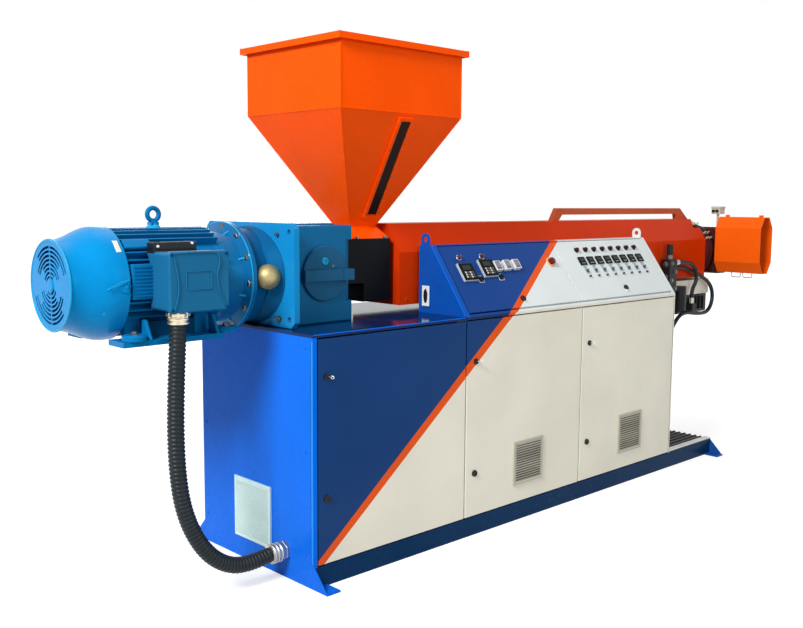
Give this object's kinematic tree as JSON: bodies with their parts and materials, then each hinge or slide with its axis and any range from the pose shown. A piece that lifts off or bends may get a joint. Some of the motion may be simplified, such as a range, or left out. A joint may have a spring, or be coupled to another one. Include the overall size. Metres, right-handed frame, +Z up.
{
  "type": "plastic extruder",
  "caption": "Single-screw plastic extruder: motor and gearbox on a closed cabinet with doors, a hopper over the throat, a covered barrel and a sloped control console.",
  "frame": {"origin": "on the floor below the screw axis, in the middle of the skid's cross member under the feed throat", "axes": "+X along the barrel to the die, -Y to the door side, +Z up"},
  "size_m": [4.513, 0.944, 2.166],
  "materials": {
    "bright_blue": "gloss",
    "navy_blue": "gloss",
    "cream": "gloss",
    "console_white": "gloss",
    "orange": "gloss",
    "motor_blue": "gloss",
    "gearbox_blue": "satin",
    "black_cast": "matt",
    "black_paint": "satin",
    "vent_plastic": "matt",
    "vent_pale": "satin",
    "barrel_steel": "satin",
    "brass": "satin",
    "conduit_black": "matt",
    "instrument_black": "satin",
    "hose_black": "satin"
  },
  "bodies": {
    "frame": {"base_beams": "navy_blue", "cross_members": "navy_blue", "skid_end": "navy_blue", "deck_tray": "black_paint", "left_end_panel": "bright_blue", "left_vent": "vent_pale", "right_end_panel": "cream", "back_panels": "cream", "cabinet_floor": "black_paint", "door_posts": "cream", "table_top": "bright_blue", "console_side_left": "bright_blue", "console_side_right": "console_white", "console_shell": "console_white", "gearbox_plate": "gearbox_blue", "gearbox_housing": "gearbox_blue", "gearbox_cover": "gearbox_blue", "bell_adaptor": "gearbox_blue", "bell_cap": "brass", "motor_flange": "motor_blue", "motor_frame": "motor_blue", "fan_cowl": "motor_blue", "terminal_box": "motor_blue", "conduit": "conduit_black", "conduit_fittings": "brass", "feed_block": "black_cast", "hopper_cone": "orange", "hopper_bin": "orange", "hopper_rim": "orange", "sight_window": "orange", "barrel": "barrel_steel", "barrel_cover": "orange", "roof_strip": "orange", "support_beam": "cream", "barrel_stand": "black_paint", "die_adapter": "barrel_steel", "screen_body": "barrel_steel", "screen_guard": "orange", "guard_loops": "barrel_steel", "die_box": "vent_plastic", "power_pack": "black_paint", "hydraulic_valve": "black_paint", "hose_fittings": "barrel_steel", "hose_front": "hose_black", "hose_loop": "hose_black"},
    "door_left": {"door_left": "navy_blue"},
    "door_middle": {"door_middle": "cream", "vent_middle": "vent_plastic"},
    "door_right": {"door_right": "cream", "vent_right": "vent_plastic"},
    "lid_left": {"lid_left": "bright_blue", "left_instruments": "instrument_black"},
    "lid_right": {"lid_right": "console_white", "right_instruments": "instrument_black"}
  },
  "joints": [
    {"name": "door_left_hinge", "type": "hinge", "parent": "frame", "child": "door_left", "pos_m": [0.252, -0.469, 0.5], "axis": [0, 0, 1], "range_deg": [0, 90]},
    {"name": "door_middle_hinge", "type": "hinge", "parent": "frame", "child": "door_middle", "pos_m": [1.108, -0.469, 0.5], "axis": [0, 0, 1], "range_deg": [0, 90]},
    {"name": "door_right_hinge", "type": "hinge", "parent": "frame", "child": "door_right", "pos_m": [1.973, -0.469, 0.5], "axis": [0, 0, 1], "range_deg": [0, 90]},
    {"name": "lid_left_hinge", "type": "hinge", "parent": "frame", "child": "lid_left", "pos_m": [0.3, -0.25711, 1.29375], "axis": [-1, 0, 0], "range_deg": [0, 65]},
    {"name": "lid_right_hinge", "type": "hinge", "parent": "frame", "child": "lid_right", "pos_m": [1.9, -0.25711, 1.29375], "axis": [-1, 0, 0], "range_deg": [0, 65]}
  ]
}
